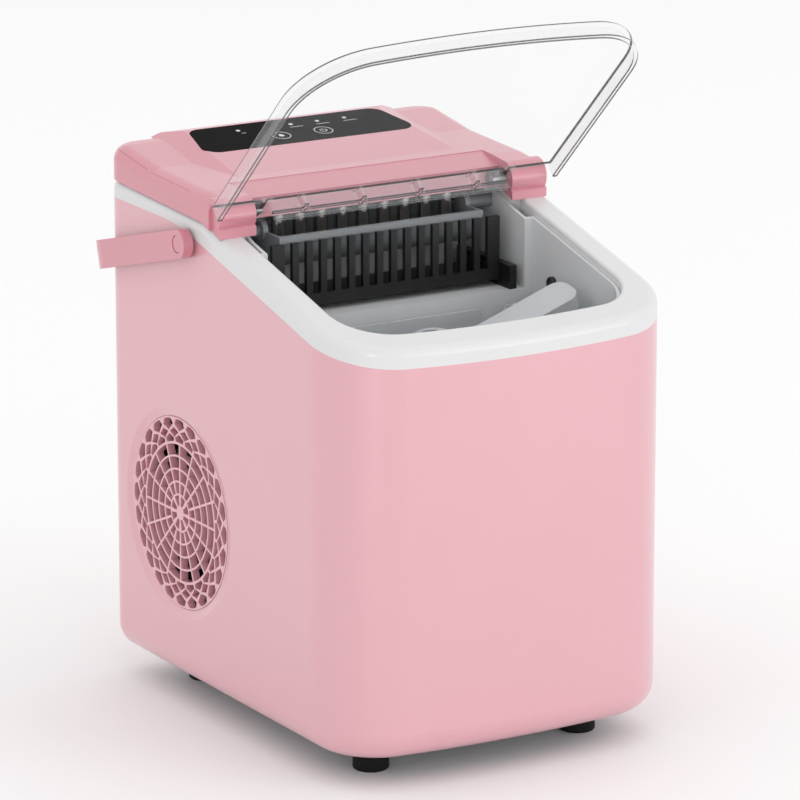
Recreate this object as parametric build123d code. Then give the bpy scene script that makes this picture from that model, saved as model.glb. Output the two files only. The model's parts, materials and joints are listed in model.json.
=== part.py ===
from build123d import *
import os
from math import atan, atan2, cos, degrees, hypot, radians, sin

# Portable ice maker. Millimetres. X to the right, Y to the back, Z up.
# The origin is on the floor under the middle of the body.

# ---------------------------------------------------------------- body
WIDTH = 222.0
DEPTH = 289.0
HALF_W = WIDTH / 2
FRONT_BOW = 9.5            # how far the middle of the front stands ahead of its corners
FRONT_Y = -DEPTH / 2 + FRONT_BOW
REAR_Y = DEPTH / 2
FRONT_CORNER_R = 43.0
REAR_CORNER_R = 17.0
WALL = 2.5
FIT = 0.3                  # free gap between neighbouring mouldings

FOOT_H = 16.5
FOOT_R = 10.5
FOOT_X = 69.3
FOOT_FRONT_Y = -94.2
FOOT_REAR_Y = 100.8
BOTTOM_R = 16.0            # rounding of the shell's lower edge
SHELL_Z = FOOT_H

# ---------------------------------------------------------------- rear service opening
REAR_WINDOW_X = 78.0
REAR_WINDOW_Z = (70.0, 262.0)
REAR_WINDOW_R = 8.0
REAR_FRAME_LAP = 11.0      # how far the inner frame reaches into the opening
REAR_SCREWS = [(x, z) for x in (-72.0, 72.0) for z in (76.0, 166.0, 256.0)]
FRONT_JOINT_Y = FRONT_Y + FRONT_CORNER_R + 1.0
REAR_JOINT_Y = REAR_Y - REAR_CORNER_R - 1.0

# side profile of the joint between the shell and the white frame
RIM_SLOPE = 0.245
SEAM_FLAT_Z = 293.0
SEAM_BEND = (54.1, SEAM_FLAT_Z)
SEAM_R = 165.0
PROFILE_FRONT_Y = -150.0
PROFILE_REAR_Y = 150.0

# side profile of the white frame's upper surface
RIM_KNEE = (8.0, 293.0)
BAND_START = (24.0, 299.3)
BAND_REAR_Z = 304.0
RIM_OUTER_R = 6.0
RIM_SKIN = 3.0

# mouth of the bin
MOUTH_X = 93.5
MOUTH_FRONT_Y = -124.5
MOUTH_BOW = 6.0
MOUTH_REAR_Y = 14.0
MOUTH_CORNER_R = 32.0
ICE_BAY_X = 88.0
ICE_BAY_REAR_Y = 61.0
MACHINE_HATCH_X = 98.0
MACHINE_HATCH_Y = (66.0, 128.0)

# ---------------------------------------------------------------- top cover
COVER_FRONT_Y = 16.5
SHOULDER = ((COVER_FRONT_Y, 314.6), (30.0, 316.0), (88.0, 318.0), (129.0, 323.6), (REAR_Y + 1, 324.0))
SHOULDER_R = 9.0
PANEL_REAR = (128.75, 327.8)
PANEL_FRONT = (89.75, 322.3)
CREASE = (40.4, 315.9)
FASCIA_EDGE = (22.0, 310.6)
PLATEAU_FLANK = 72.0       # degrees, how flat the flanks of the raised middle lie
COVER_WALL = 2.6
CHEEK_IN_X = 85.5
CHEEK_OUT_X = 109.0
CHEEK_R = 10.2

PANEL_HALF_REAR = 64.0
PANEL_HALF_FRONT = 72.0
PANEL_CORNER_R = 9.0
PANEL_T = 2.0

# ---------------------------------------------------------------- lid
HINGE_Y = 16.5
HINGE_Z = 304.5
LID_OPEN = 44.0            # degrees above level in the rest pose
LID_EDGE = 10.9            # from the hinge axis to the plate's rear edge
LID_REACH = 169.5          # from the hinge axis to the middle of the front edge
LID_HALF_W = 113.0
LID_T = 2.6
LID_DEPTH = 10.8
LID_RISE = 0.7             # the plate's top above the hinge axis
LID_CORNER_R = 45.0
LID_BOW = 9.5
KNUCKLE_X = (77.0, 84.9)
KNUCKLE_R = 6.0
PIN_R = 2.4
PIN_GAP = 0.05             # radial running clearance

# ---------------------------------------------------------------- handle
HANDLE_Y = 40.0
HANDLE_Z = 284.5
HANDLE_DROP = 15.2         # degrees below level when folded back
HANDLE_T = 6.2
HANDLE_H = 17.0
HANDLE_OUT_X = 119.4
HANDLE_REACH = 117.6       # from the pivot to the outer face of the cross bar
HANDLE_CORNER_R = 22.0
HANDLE_PIN_R = 3.0
PIVOT_SHANK_R = 2.55       # inside the shell's hole
PIVOT_HOLE_R = 2.6

# ---------------------------------------------------------------- side grille
GRILLE_Y = 57.0
GRILLE_Z = 118.8
GRILLE_R = 57.2
GRILLE_BEVEL_R = 63.0
GRILLE_FLANGE_R = 61.0
GRILLE_DEPTH = 4.6
GRILLE_SINK = 1.6
GRILLE_RIB = 1.2
GRILLE_HUB_R = 4.4
GRILLE_RING_R = (11.0, 18.6, 26.2, 33.9, 41.5)
GRILLE_SPOKES = 16
GRILLE_CELLS = 24          # cells in each row of the outer band

# ---------------------------------------------------------------- bin
BIN_X = 93.2
BIN_WALL = 2.0
BIN_FRONT_Y = -124.0
BIN_TANK_REAR_Y = -7.0
BIN_FLOOR_Z = 62.0
SHELF_Z = 241.0
BIN_REAR_Y = 60.5
BASKET_X = 88.0
BASKET_Y = (-117.0, -12.0)
BASKET_Z = (168.0, 236.0)
BASKET_WALL = 2.2
BASKET_CORNER_R = 27.0
LEDGE_REACH = 4.0          # how far the ledges reach under the basket
LEDGE_H = 6.0
LEDGE_Y = (-86.0, -16.0)

# ---------------------------------------------------------------- scoop
SCOOP_L = 88.0
SCOOP_W = 64.0
SCOOP_D = 32.0             # depth of the bowl
SCOOP_WALL = 2.0
SCOOP_GRIP_L = 74.0
SCOOP_GRIP_W = 21.0
SCOOP_GRIP_T = 9.0
SCOOP_TILT = 20.0          # degrees, grip raised
SCOOP_ROLL = 14.0          # degrees
SCOOP_AT = (10.0, -68.0, 232.6)

# ---------------------------------------------------------------- ice making
TRAY_Y = 34.0
TRAY_Z = 288.0
TRAY_R = 22.0
TRAY_WALL = 1.8
TRAY_X = 68.0
STUB_R = 4.0
STUB_END_X = 87.6
HEADER_Z = 300.0
HEADER_R = 5.5
HEADER_X = 62.0
FINGER_R = 4.2
FINGER_PITCH = 14.0
FINGER_COUNT = 9
FINGER_TIP_Z = 270.5
BRACKET_X = 71.0
SHOVEL_X = 76.0
SHOVEL_Y = (5.0, 8.0)
SHOVEL_Z = (247.0, 285.0)

# ---------------------------------------------------------------- refrigeration
COMPRESSOR_AT = (48.0, 84.0)
COMPRESSOR_R = 40.0
COMPRESSOR_Z = (34.0, 158.0)
MOUNT_R = 46.0             # from the compressor's axis to its mounts
FAN_X = -90.0
FAN_R = 46.0
CONDENSER_X = (-58.0, -32.0)
CONDENSER_Y = (14.0, 118.0)
CONDENSER_Z = (62.0, 176.0)
PIPE_R = 2.5
LIQUID_PIPE_R = 2.0
PIPE_X = 78.0              # the pipes pass over the bay wall here
PIPE_Z = 306.5
DRIER_AT = (-14.0, 124.0)
DRIER_TOP_Z = 166.0
HOSE_Y = 69.5

# ---------------------------------------------------------------- drain, lead gland and power board
DRAIN_Y = -60.0
DRAIN_Z = 74.0
DRAIN_R = 11.0
DRAIN_BORE_R = 5.0
GLAND_R = 9.0
GLAND_X = -50.0
GLAND_Z = 44.0
LEAD_R = 3.2
BOARD_X = (-72.0, -26.0)
BOARD_Z = (176.0, 254.0)
BOARD_Y = (132.0, 133.6)

os.makedirs("parts", exist_ok=True)


def plan_face(inset=0.0):
    """Plan outline of the body, moved inward by inset."""
    half = HALF_W - inset
    front = FRONT_Y + inset
    rear = REAR_Y - inset
    bow = ThreePointArc((-half, front), (0, front - FRONT_BOW), (half, front))
    rest = Polyline((half, front), (half, rear), (-half, rear), (-half, front))
    face = make_face(bow + rest)
    face = fillet(face.vertices().sort_by(Axis.Y)[:2], max(FRONT_CORNER_R - inset, 1.0))
    return fillet(face.vertices().sort_by(Axis.Y)[-2:], max(REAR_CORNER_R - inset, 1.0))


def column(face, z_low, z_high):
    """A plan face made into an upright column."""
    return extrude(Pos(0, 0, z_low) * face, amount=z_high - z_low)


def box(x, y, z):
    """Box from its (low, high) pairs."""
    size = (x[1] - x[0], y[1] - y[0], z[1] - z[0])
    return Pos((x[0] + x[1]) / 2, (y[0] + y[1]) / 2, (z[0] + z[1]) / 2) * Box(*size)


def rod_x(r, x, y, z):
    """Round bar along X."""
    return Pos((x[0] + x[1]) / 2, y, z) * Rot(0, 90, 0) * Cylinder(r, x[1] - x[0])


def rod_y(r, x, y, z):
    """Round bar along Y."""
    return Pos(x, (y[0] + y[1]) / 2, z) * Rot(90, 0, 0) * Cylinder(r, y[1] - y[0])


def rod_z(r, x, y, z):
    """Round bar along Z."""
    return Pos(x, y, (z[0] + z[1]) / 2) * Cylinder(r, z[1] - z[0])


def below(points, radii=None, z_far=-20.0):
    """Everything under a side profile, across the whole width."""
    line = FilletPolyline(*points, radius=radii) if radii else Polyline(*points)
    first, last = points[0], points[-1]
    rest = Polyline(last, (last[0], z_far), (first[0], z_far), first)
    return extrude(Plane.YZ * make_face(line + rest), amount=WIDTH, both=True)


def seam_points(drop=0.0):
    """Side profile of the shell's upper edge, lowered by drop."""
    z_front = SEAM_BEND[1] - RIM_SLOPE * (SEAM_BEND[0] - PROFILE_FRONT_Y)
    return [(PROFILE_FRONT_Y, z_front - drop), (SEAM_BEND[0], SEAM_BEND[1] - drop),
            (PROFILE_REAR_Y, SEAM_FLAT_Z - drop)]


def rim_points(drop=0.0):
    """Side profile of the white frame's upper surface, lowered by drop."""
    z_front = RIM_KNEE[1] - RIM_SLOPE * (RIM_KNEE[0] - PROFILE_FRONT_Y)
    return [(PROFILE_FRONT_Y, z_front - drop), (RIM_KNEE[0], RIM_KNEE[1] - drop),
            (BAND_START[0], BAND_START[1] - drop), (PROFILE_REAR_Y, BAND_REAR_Z - drop)]


def below_seam(drop=0.0):
    """Space under the shell's upper edge."""
    return below(seam_points(drop), SEAM_R)


def below_rim(drop=0.0):
    """Space under the white frame's upper surface."""
    return below(rim_points(drop), 12.0)


def rim_height(y):
    """Height of the frame's sloping front part at a given y."""
    return RIM_KNEE[1] + RIM_SLOPE * (y - RIM_KNEE[0])


# ================================================================ casing
def casing_wall():
    """Whole pink casing, open at the top and at the bottom, before it is parted into its panels."""
    outer = column(plan_face(), SHELL_Z, 300)
    outer = fillet(outer.edges().group_by(Axis.Z)[0], BOTTOM_R)
    inner = column(plan_face(WALL), SHELL_Z + WALL, 301)
    inner = fillet(inner.edges().group_by(Axis.Z)[0], BOTTOM_R - WALL)
    shell = (outer - inner) & below_seam()
    shell -= column(plan_face(18.0), SHELL_Z - 1, SHELL_Z + 5)
    shell -= rod_x(GRILLE_R + 0.4, (-HALF_W - 1, -HALF_W + 12), GRILLE_Y, GRILLE_Z)
    bevel = Cone(GRILLE_BEVEL_R - 4.4, GRILLE_BEVEL_R, GRILLE_SINK)
    shell -= Pos(-HALF_W + GRILLE_SINK / 2, GRILLE_Y, GRILLE_Z) * Rot(0, -90, 0) * bevel
    for side in (-1, 1):
        shell -= rod_x(PIVOT_HOLE_R, sorted((side * 100, side * 112)), HANDLE_Y, HANDLE_Z)
    shell -= rear_window(0.0)
    shell -= rod_x(DRAIN_R + FIT, (100, 112), DRAIN_Y, DRAIN_Z)
    shell -= rod_y(GLAND_R + FIT, GLAND_X, (130, 150), GLAND_Z)
    return shell


def shell_front():
    """Front panel of the casing with both front corners."""
    return casing_wall() & box((-120, 120), (-160, FRONT_JOINT_Y), (0, 330))


def shell_left():
    """Left side panel, with the round hole for the air grille."""
    return casing_wall() & box((-120, 0), (FRONT_JOINT_Y, REAR_JOINT_Y), (0, 330))


def shell_right():
    """Right side panel, with the drain hole."""
    return casing_wall() & box((0, 120), (FRONT_JOINT_Y, REAR_JOINT_Y), (0, 330))


def shell_rear():
    """Rear panel with both rear corners and the service opening."""
    return casing_wall() & box((-120, 120), (REAR_JOINT_Y, 160), (0, 330))


def rear_window(gap):
    """Rectangular opening in the rear wall, smaller by gap all round."""
    size = (2 * (REAR_WINDOW_X - gap), REAR_WINDOW_Z[1] - REAR_WINDOW_Z[0] - 2 * gap)
    face = RectangleRounded(size[0], size[1], REAR_WINDOW_R - gap)
    at = Pos(0, REAR_Y + 1, sum(REAR_WINDOW_Z) / 2) * Rot(90, 0, 0)
    return extrude(at * face, amount=WALL + 2)


def rear_panel():
    """Removable pink rear panel with rows of air slots."""
    size = (2 * (REAR_WINDOW_X - FIT), REAR_WINDOW_Z[1] - REAR_WINDOW_Z[0] - 2 * FIT)
    face = RectangleRounded(size[0], size[1], REAR_WINDOW_R - 0.5)
    slots = Sketch()
    for row in range(9):
        for col in (-1, 0, 1):
            slots += Pos(col * 42.0, -40.0 + row * 12.0) * SlotOverall(34.0, 5.0)
    face -= slots
    for x, z in REAR_SCREWS:
        face -= Pos(x, z - sum(REAR_WINDOW_Z) / 2) * Circle(1.9)
    at = Pos(0, REAR_Y, sum(REAR_WINDOW_Z) / 2) * Rot(90, 0, 0)
    return extrude(at * face, amount=WALL)


def rear_frame():
    """Inner frame behind the rear opening, which takes the panel's screws."""
    size = (2 * REAR_WINDOW_X, REAR_WINDOW_Z[1] - REAR_WINDOW_Z[0])
    outer = RectangleRounded(size[0] + 12, size[1] + 12, 10.0)
    inner = RectangleRounded(size[0] - 2 * REAR_FRAME_LAP, size[1] - 2 * REAR_FRAME_LAP, 6.0)
    face = outer - inner
    for x, z in REAR_SCREWS:
        face -= Pos(x, z - sum(REAR_WINDOW_Z) / 2) * Circle(1.5)
    at = Pos(0, REAR_Y - WALL, sum(REAR_WINDOW_Z) / 2) * Rot(90, 0, 0)
    return extrude(at * face, amount=3.0)


def screw(head_r, head_h, shank_r, length):
    """Pan-head screw along -Z, its head standing on z = 0."""
    head = Pos(0, 0, head_h / 2) * Cylinder(head_r, head_h)
    head = fillet(head.edges().group_by(Axis.Z)[-1], head_h * 0.45)
    cross = Box(head_r * 1.2, 0.7, 1.2) + Box(0.7, head_r * 1.2, 1.2)
    return head - Pos(0, 0, head_h) * cross + Pos(0, 0, -length / 2) * Cylinder(shank_r, length)


def rear_panel_screws():
    """Six screws that hold the rear panel."""
    part = Rot(-90, 0, 0) * screw(3.2, 1.8, 1.45, 8.0)
    return Compound([Pos(x, REAR_Y + 0.02, z) * part for x, z in REAR_SCREWS])


def feet_places():
    """Plan positions of the four feet."""
    return [(x, y) for x in (-FOOT_X, FOOT_X) for y in (FOOT_FRONT_Y, FOOT_REAR_Y)]


def base_pan():
    """Steel-grey base that carries the compressor; it drops onto the shell's inner lip."""
    pan = column(plan_face(18.3), SHELL_Z, SHELL_Z + 2.6)
    pan += column(plan_face(16.0), SHELL_Z + 2.6, SHELL_Z + 5.2)
    for x, y in feet_places():
        pan -= rod_z(2.2, x, y, (SHELL_Z - 1, SHELL_Z + 6))
    for x, y in compressor_feet():
        pan += rod_z(6.0, x, y, (SHELL_Z + 5.2, SHELL_Z + 7.2))
        pan -= rod_z(2.0, x, y, (SHELL_Z - 1, SHELL_Z + 8))
    for row in range(5):
        pan -= box((-62, -18), (20 + row * 16, 25 + row * 16), (SHELL_Z - 1, SHELL_Z + 6))
    return pan


def feet():
    """Four round rubber feet."""
    foot = Pos(0, 0, FOOT_H / 2) * Cylinder(FOOT_R, FOOT_H)
    foot = fillet(foot.edges().group_by(Axis.Z)[0], 1.6)
    foot -= Pos(0, 0, 3.5) * Cylinder(4.6, 7.1)
    foot -= Pos(0, 0, 12) * Cylinder(2.2, 12)
    return Compound([Pos(x, y, 0) * foot for x, y in feet_places()])


def foot_screws():
    """Four screws that hold the feet."""
    part = Rot(180, 0, 0) * screw(4.0, 2.2, 2.1, 16.0)
    return Compound([Pos(x, y, 7.0) * part for x, y in feet_places()])


def mouth_face(grow=0.0):
    """Plan outline of the bin's mouth, grown by a wall thickness."""
    half = MOUTH_X + grow
    front = MOUTH_FRONT_Y + MOUTH_BOW - grow
    rear = MOUTH_REAR_Y + grow
    bow = ThreePointArc((-half, front), (0, front - MOUTH_BOW), (half, front))
    rest = Polyline((half, front), (half, rear), (-half, rear), (-half, front))
    face = make_face(bow + rest)
    face = fillet(face.vertices().sort_by(Axis.Y)[:2], MOUTH_CORNER_R + grow)
    return fillet(face.vertices().sort_by(Axis.Y)[-2:], 4.0 + grow)


def opening_face(grow=0.0):
    """Mouth together with the ice-making bay behind it."""
    bay_y = (0.0, ICE_BAY_REAR_Y + grow)
    bay = Pos(0, sum(bay_y) / 2) * Rectangle(2 * (ICE_BAY_X + grow), bay_y[1] - bay_y[0])
    return mouth_face(grow) + bay


def hatch_face(grow=0.0):
    """Opening over the machine bay, under the top cover."""
    y = (MACHINE_HATCH_Y[0] - grow, MACHINE_HATCH_Y[1] + grow)
    return Pos(0, sum(y) / 2) * Rectangle(2 * (MACHINE_HATCH_X + grow), y[1] - y[0])


def top_frame():
    """White frame: broad sloping rim round the mouth, and the band under the cover."""
    block = (column(plan_face(), 200, 320) & below_rim()) - below_seam()
    top_edge = [e for e in block.edges().filter_by(lambda e: e.center().Y < 6)
                if is_rim_edge(e)]
    block = fillet(top_edge, RIM_OUTER_R)
    skirt = plan_face(WALL + 0.1) - opening_face(2.4) - hatch_face(2.4)
    hollow = column(skirt, 200, 320) & below_rim(RIM_SKIN)
    frame = block - hollow
    frame -= column(opening_face(), 190, 330)
    frame -= column(hatch_face(), 190, 330)
    frame -= rod_x(STUB_R + 1, (ICE_BAY_X - 1, ICE_BAY_X + 4), TRAY_Y, TRAY_Z)
    inner_edge = [e for e in frame.edges() if is_mouth_edge(e)]
    return fillet(inner_edge, 2.0)


def is_rim_edge(edge):
    """True for an outer edge of the rim's sloping upper surface."""
    ends = [edge.position_at(t) for t in (0.05, 0.5, 0.95)]
    return all(abs(p.Z - rim_height(p.Y)) < 0.05 and p.Y < RIM_KNEE[0] - 2 for p in ends)


def is_mouth_edge(edge):
    """True for the upper edge of the mouth, ahead of the cover."""
    ends = [edge.position_at(t) for t in (0.05, 0.5, 0.95)]
    on_top = all(abs(p.Z - rim_height(p.Y)) < 0.05 and p.Y < RIM_KNEE[0] - 2 for p in ends)
    inside = all(abs(p.X) < MOUTH_X + 0.1 and p.Y > MOUTH_FRONT_Y - 0.1 for p in ends)
    return on_top and inside


def bin_liner():
    """White tub: a deep tank in front and a shelf under the ice-making parts."""
    low = column(mouth_face(-FIT), BIN_FLOOR_Z, 330)
    low -= box((-120, 120), (BIN_TANK_REAR_Y + BIN_WALL, 60), (0, 340))
    bay_x = ICE_BAY_X - 0.2
    high = box((-bay_x, bay_x), (-20.0, BIN_REAR_Y), (SHELF_Z, 330))
    tub = (low + high) & below_rim(5.0)
    inner = column(mouth_face(-FIT - BIN_WALL), BIN_FLOOR_Z + BIN_WALL, 340)
    inner -= box((-120, 120), (BIN_TANK_REAR_Y, 60), (0, 350))
    inner += box((-bay_x + BIN_WALL, bay_x - BIN_WALL), (-21.0, BIN_REAR_Y - BIN_WALL),
                 (SHELF_Z + BIN_WALL, 340))
    tub -= inner
    for side in (-1, 1):
        ledge_x = sorted((side * (BASKET_X - LEDGE_REACH), side * (BIN_X - BIN_WALL / 2)))
        tub += box(ledge_x, LEDGE_Y, (BASKET_Z[0] - FIT - LEDGE_H, BASKET_Z[0] - FIT))
        tub -= rod_x(4.4, sorted((side * 80, side * 95)), TRAY_Y, TRAY_Z)
        tub -= box(sorted((side * 80, side * 95)), (TRAY_Y - 4.4, TRAY_Y + 4.4), (TRAY_Z, 330))
    tub -= rod_x(DRAIN_BORE_R, (85, 95), DRAIN_Y, DRAIN_Z)
    return tub


def bin_insulation():
    """Foam jacket round the front and the sides of the tub."""
    outer = column(plan_face(WALL + 1.5), 34.0, 236.0)
    hole = box((-BIN_X - 1, BIN_X + 1), (BIN_FRONT_Y - 1.5, 60), (20, 260))
    hole = fillet(hole.edges().filter_by(Axis.Z).sort_by(Axis.Y)[:2], 31.0)
    jacket = outer - hole - box((-120, 120), (-12.0, 150), (0, 300))
    jacket -= rod_x(DRAIN_R + 1.5, (90, 112), DRAIN_Y, DRAIN_Z)
    return jacket


def ice_basket():
    """Lift-out basket with slotted floor and walls."""
    basket = box((-BASKET_X, BASKET_X), BASKET_Y, BASKET_Z)
    basket = fillet(basket.edges().filter_by(Axis.Z).sort_by(Axis.Y)[:2], BASKET_CORNER_R)
    w = BASKET_WALL
    inner = box((-BASKET_X + w, BASKET_X - w), (BASKET_Y[0] + w, BASKET_Y[1] - w),
                (BASKET_Z[0] + w, BASKET_Z[1] + 1))
    inner = fillet(inner.edges().filter_by(Axis.Z).sort_by(Axis.Y)[:2], BASKET_CORNER_R - w)
    basket -= inner
    for i in range(-4, 5):
        basket -= box((i * 16 - 2.5, i * 16 + 2.5), (-104, -26), (BASKET_Z[0] - 1, BASKET_Z[0] + w + 1))
        if abs(i) < 4:
            basket -= box((i * 18 - 3, i * 18 + 3), (-125, -5), (188, 222))
    for i in range(4):
        y = -92 + i * 20
        basket -= box((-95, 95), (y - 3, y + 3), (188, 222))
    for x in (-60, 60):
        basket -= rod_y(9.0, x, (-14.5, -10.0), 236.0)
    return basket


def ice_scoop():
    """Frosted scoop: open bowl with a slanted mouth and a channel grip, along +X before placing."""
    bowl = Pos(-SCOOP_L / 2, 0, -SCOOP_D / 2) * Box(SCOOP_L, SCOOP_W, SCOOP_D)
    back = bowl.edges().filter_by(Axis.Z).sort_by(Axis.X)[-2:]
    bowl = fillet(back, 15.0)
    bowl = fillet(bowl.edges().group_by(Axis.Z)[0], 11.0)
    w = SCOOP_WALL
    inner = Pos(-SCOOP_L / 2 - w, 0, -SCOOP_D / 2 + w) * Box(SCOOP_L, SCOOP_W - 2 * w, SCOOP_D)
    inner = fillet(inner.edges().filter_by(Axis.Z).sort_by(Axis.X)[-2:], 13.0)
    inner = fillet(inner.edges().group_by(Axis.Z)[0], 9.0)
    slant = Polyline((-SCOOP_L - 30, -SCOOP_D), (-SCOOP_L + 2, -SCOOP_D), (-SCOOP_L + 34, 1),
                     (-SCOOP_L - 30, 1), (-SCOOP_L - 30, -SCOOP_D))
    mouth = extrude(Plane.XZ * make_face(slant), amount=SCOOP_W, both=True)
    bowl = bowl - inner - mouth
    grip_size = (SCOOP_GRIP_L + 6, SCOOP_GRIP_W, SCOOP_GRIP_T)
    grip = Pos(SCOOP_GRIP_L / 2 - 3, 0, -SCOOP_GRIP_T / 2) * Box(*grip_size)
    grip = fillet(grip.edges().filter_by(Axis.Z).sort_by(Axis.X)[-2:], 8.0)
    channel = Pos(SCOOP_GRIP_L / 2 - 1, 0, -SCOOP_GRIP_T / 2 - 2) * Box(
        SCOOP_GRIP_L - 6, SCOOP_GRIP_W - 2 * w, SCOOP_GRIP_T)
    channel = fillet(channel.edges().filter_by(Axis.Z).sort_by(Axis.X)[-2:], 6.0)
    scoop = bowl + (grip - channel - inner)
    return Pos(*SCOOP_AT) * Rot(0, -SCOOP_TILT, 0) * Rot(SCOOP_ROLL, 0, 0) * scoop


# ================================================================ top cover
def panel_plane(drop=0.0):
    """Sloping plane of the touch panel; its local Y runs uphill to the rear."""
    rise = atan2(PANEL_REAR[1] - PANEL_FRONT[1], PANEL_REAR[0] - PANEL_FRONT[0])
    mid = ((PANEL_REAR[0] + PANEL_FRONT[0]) / 2, (PANEL_REAR[1] + PANEL_FRONT[1]) / 2)
    return Pos(0, mid[0], mid[1]) * Rot(degrees(rise), 0, 0) * Pos(0, 0, -drop)


def panel_face(grow=0.0):
    """Outline of the touch panel: a trapezoid that widens to the front."""
    half_len = hypot(PANEL_REAR[0] - PANEL_FRONT[0], PANEL_REAR[1] - PANEL_FRONT[1]) / 2 + grow
    rear = PANEL_HALF_REAR + grow
    front = PANEL_HALF_FRONT + grow
    face = make_face(Polyline((-front, -half_len), (front, -half_len), (rear, half_len),
                              (-rear, half_len), (-front, -half_len)))
    return fillet(face.vertices(), PANEL_CORNER_R + grow)


def plateau():
    """Raised middle of the cover, with long soft flanks."""
    half_len = hypot(PANEL_REAR[0] - PANEL_FRONT[0], PANEL_REAR[1] - PANEL_FRONT[1]) / 2
    face = make_face(Polyline((-74, -half_len - 52), (74, -half_len - 52), (65.5, half_len + 0.6),
                              (-65.5, half_len + 0.6), (-74, -half_len - 52)))
    return extrude(panel_plane() * face, amount=-5.5, taper=-PLATEAU_FLANK)


def top_cover():
    """Pink cover over the rear half, with two cheeks that carry the lid."""
    slab = column(plan_face(), 285, 330) & below(SHOULDER, 6.0)
    slab &= box((-120, 120), (COVER_FRONT_Y, 150), (280, 340))
    upper = [e for e in slab.edges() if is_shoulder_edge(e)]
    slab = fillet(upper, SHOULDER_R)
    inside = column(plan_face(COVER_WALL), 280, 330)
    inside &= below([(y, z - COVER_WALL) for y, z in SHOULDER], 6.0)
    slope = [(0, FASCIA_EDGE[1] - 5), FASCIA_EDGE, CREASE]
    inside &= below([(y, z - COVER_WALL) for y, z in slope] + [(60, 318), (150, 335)])
    inside &= box((-120, 120), (COVER_FRONT_Y + 12, 150), (270, 340))
    inside = inside - box((-120, -CHEEK_IN_X + 2), (0, 32), (270, 340))
    inside = inside - box((CHEEK_IN_X - 2, 120), (0, 32), (270, 340))
    cover = slab + (plateau() & column(plan_face(4.0), 300, 330))
    cover -= inside
    far_y = CREASE[0] + 40
    front_cut = Polyline((-10, 340), (far_y, 340), (far_y, CREASE[1] + 8), CREASE, FASCIA_EDGE,
                         (FASCIA_EDGE[0], 280), (-10, 280), (-10, 340))
    cover -= extrude(Plane.YZ * make_face(front_cut), amount=CHEEK_IN_X, both=True) & wedge_over_slope()
    cover -= box((-CHEEK_IN_X, CHEEK_IN_X), (0, FASCIA_EDGE[0]), (270, 340))
    for side in (-1, 1):
        x = sorted((side * CHEEK_IN_X, side * CHEEK_OUT_X))
        cheek = rod_x(CHEEK_R, x, HINGE_Y, HINGE_Z)
        foot = Polyline((6.5, 285), (6.5, 297.5), (9.0, 299.8), (30, 303), (30, 285), (6.5, 285))
        lump = Pos(x[0], 0, 0) * extrude(Plane.YZ * make_face(foot), amount=x[1] - x[0])
        cover += cheek + lump
        cover -= rod_x(PIN_R, sorted((side * (CHEEK_IN_X - 1), side * 100)), HINGE_Y, HINGE_Z)
        relief_x = sorted((side * (KNUCKLE_X[0] - 0.6), side * CHEEK_IN_X))
        cover -= rod_x(KNUCKLE_R + 0.5, relief_x, HINGE_Y, HINGE_Z)
    cover -= below_rim()
    cover -= extrude(panel_plane() * panel_face(0.15), amount=-(PANEL_T + 0.1))
    cover -= extrude(panel_plane(1.0) * panel_face(-6.0), amount=-9.5)
    return cover


def is_shoulder_edge(edge):
    """True for an upper side or rear edge of the cover's slab."""
    p = edge.position_at(0.5)
    outer = abs(p.X) > HALF_W - REAR_CORNER_R + 2 or p.Y > REAR_Y - 0.5
    ends = [edge.position_at(t) for t in (0.05, 0.5, 0.95)]
    return outer and all(q.Z > 313.5 for q in ends) and p.Y > COVER_FRONT_Y + 0.5


def wedge_over_slope():
    """Space ahead of the panel and above the slope that runs down to the crease."""
    return box((-CHEEK_IN_X, CHEEK_IN_X), (0, CREASE[0]), (280, 340))


def touch_panel():
    """Black glass touch panel."""
    return extrude(panel_plane() * panel_face(), amount=-PANEL_T)


def control_board():
    """Circuit board under the touch panel, with its indicator lamps and chip."""
    at = panel_plane(6.2)
    board = at * Pos(0, 0, -0.8) * Box(112, 26, 1.6)
    for x in (-20, 0, 20):
        board += at * Pos(x, 6, 1.0) * Box(3.0, 1.6, 2.0)
    board += at * Pos(-40, 0, -2.6) * Box(12, 12, 2.0)
    board += at * Pos(38, 2, -4.1) * Box(16, 8, 5.0)
    return board


def touch_springs():
    """Two sensor springs between the board and the glass, as short sleeves."""
    spring = Cylinder(4.5, 4.0) - Cylinder(3.7, 5.0)
    at = panel_plane(4.1)
    return Compound([at * Pos(x, -6.5, 0) * spring for x in (-14, 14)])


# ================================================================ lid
def lid_frame(angle):
    """Frame on the hinge axis whose local Y runs along the lid to its front edge."""
    return Pos(0, HINGE_Y, HINGE_Z) * Rot(0, 0, 180) * Rot(angle, 0, 0)


def lid_face(inset=0.0):
    """Outline of the lid's plate, rear edge to bowed front edge."""
    half = LID_HALF_W - inset
    rear = LID_EDGE
    front = LID_REACH - LID_BOW - inset
    bow = ThreePointArc((half, front), (0, front + LID_BOW), (-half, front))
    rest = Polyline((-half, front), (-half, rear), (half, rear), (half, front))
    face = make_face(bow + rest)
    return fillet(face.vertices().sort_by(Axis.Y)[-2:], LID_CORNER_R - inset)


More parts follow.
